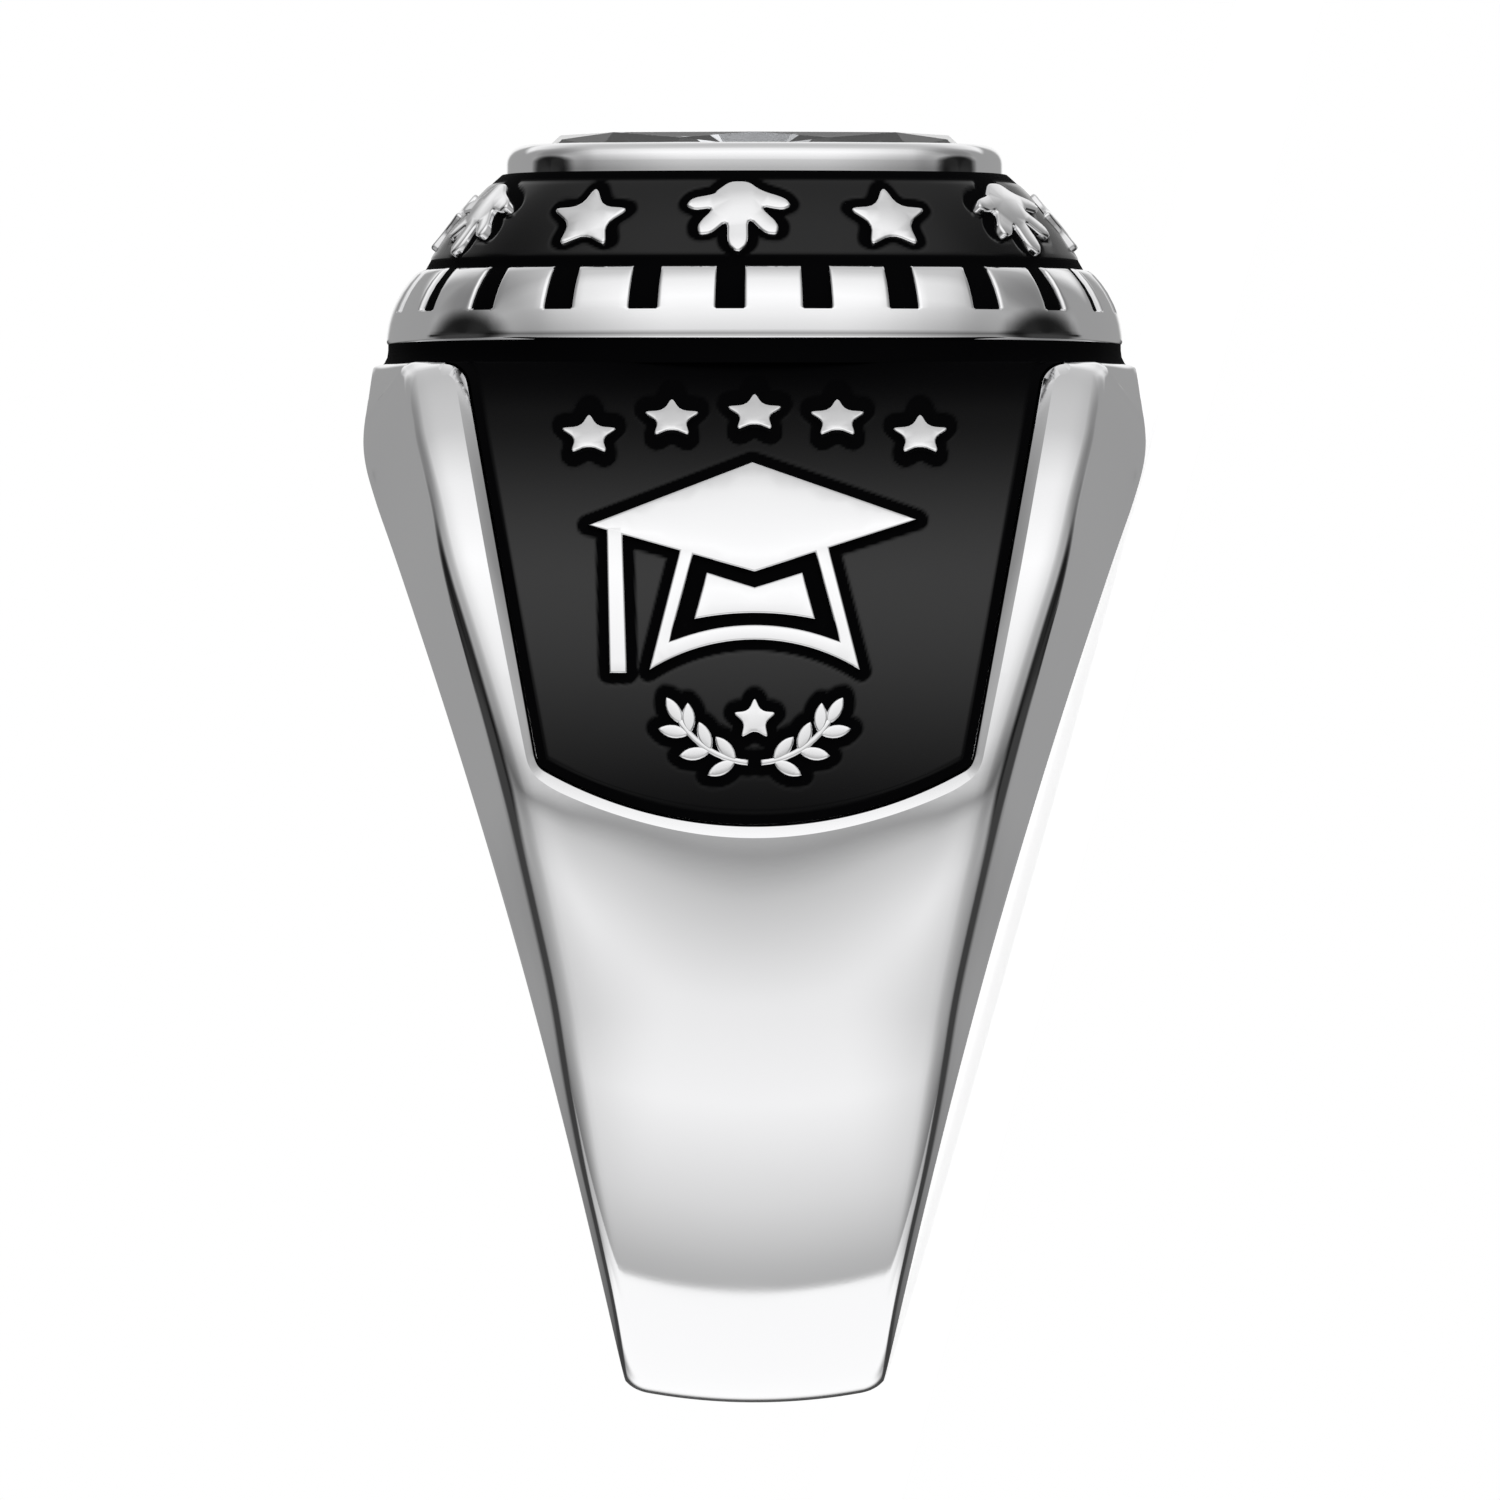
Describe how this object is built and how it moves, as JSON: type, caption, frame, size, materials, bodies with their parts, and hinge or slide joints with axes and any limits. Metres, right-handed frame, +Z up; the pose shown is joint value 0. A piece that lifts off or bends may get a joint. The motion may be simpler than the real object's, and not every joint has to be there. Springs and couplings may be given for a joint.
{
  "type": "class ring",
  "caption": "Class ring in silver and black enamel, with a toothed crown, a bezel-set cushion-cut clear stone and an academic cap on each shoulder, lying on its side.",
  "frame": {"origin": "middle of the bounding box's base, on the surface that the ring lies on", "axes": "The ring lies on one flank. +X runs from the palm side towards the crown, +Z is up from the surface, and Y crosses the finger hole. The finger hole's axis leans about 16 degrees from Z, in the XZ plane."},
  "size_m": [0.0282, 0.0246, 0.0166],
  "materials": {
    "silver": "polished silver",
    "stone": "polished clear stone",
    "enamel": "glossy black enamel"
  },
  "bodies": {
    "root": {"ring_body": "silver", "stone": "stone", "crown_enamel": "enamel", "neck_enamel": "enamel", "panel_enamel_left": "enamel", "panel_enamel_right": "enamel"}
  },
  "joints": []
}
